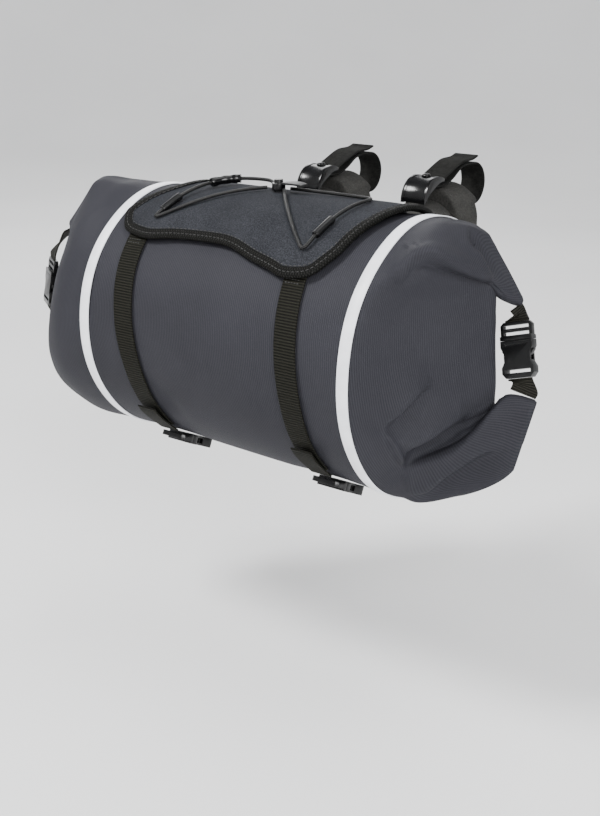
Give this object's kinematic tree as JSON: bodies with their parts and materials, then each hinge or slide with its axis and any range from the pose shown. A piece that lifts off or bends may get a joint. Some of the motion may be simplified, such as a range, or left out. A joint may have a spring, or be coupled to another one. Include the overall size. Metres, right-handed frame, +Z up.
{
  "type": "bicycle handlebar bag",
  "caption": "Roll-closed tubular handlebar bag in a fabric harness, with compression straps, side-release buckles, an elastic cord and padded mounts that strap round a handlebar.",
  "frame": {"origin": "on the handlebar's axis, midway between the two mounting straps", "axes": "+X along the bag and the handlebar, -Y the bag's front, away from the handlebar, +Z up"},
  "size_m": [0.4912, 0.3046, 0.2472],
  "materials": {
    "body_cloth": "coated anthracite twill, soft sheen",
    "flap_cloth": "heathered blue-grey weave, matte",
    "reflective": "light silver reflective tape",
    "webbing": "ribbed black webbing, matte",
    "buckle_plastic": "black moulded plastic, satin gloss",
    "clip_plastic": "black moulded plastic, glossy",
    "foam": "grey closed-cell foam, matte",
    "cord": "black braided elastic cord"
  },
  "bodies": {
    "root": {"bag_body": "body_cloth", "reflective_band_left": "reflective", "reflective_band_right": "reflective", "flap_panel": "flap_cloth", "flap_binding": "webbing", "back_panel": "flap_cloth", "strap_left": "webbing", "strap_right": "webbing", "strap_tail_left": "webbing", "strap_tail_right": "webbing", "lower_strap_left": "webbing", "lower_strap_right": "webbing", "buckle_left_socket": "buckle_plastic", "buckle_left_plug": "buckle_plastic", "buckle_right_socket": "buckle_plastic", "buckle_right_plug": "buckle_plastic", "closure_buckle_left_socket": "buckle_plastic", "closure_buckle_left_plug": "buckle_plastic", "closure_buckle_right_socket": "buckle_plastic", "closure_buckle_right_plug": "buckle_plastic", "closure_web_upper_left": "webbing", "closure_web_lower_left": "webbing", "closure_web_upper_right": "webbing", "closure_web_lower_right": "webbing", "mount_foam_front_left": "foam", "mount_foam_front_right": "foam", "mount_foam_rear_left": "foam", "mount_foam_rear_right": "foam", "mount_clip_left": "clip_plastic", "mount_clip_right": "clip_plastic", "clip_rivet_left": "clip_plastic", "clip_rivet_right": "clip_plastic", "mount_strap_left": "webbing", "mount_strap_right": "webbing", "mount_strap_tail_left": "webbing", "mount_strap_tail_right": "webbing", "bungee_left": "cord", "bungee_right": "cord", "cord_barrel": "buckle_plastic", "cord_keeper_left": "webbing", "cord_keeper_right": "webbing", "cord_lock": "buckle_plastic", "cord_pull_tab": "webbing"}
  },
  "joints": []
}
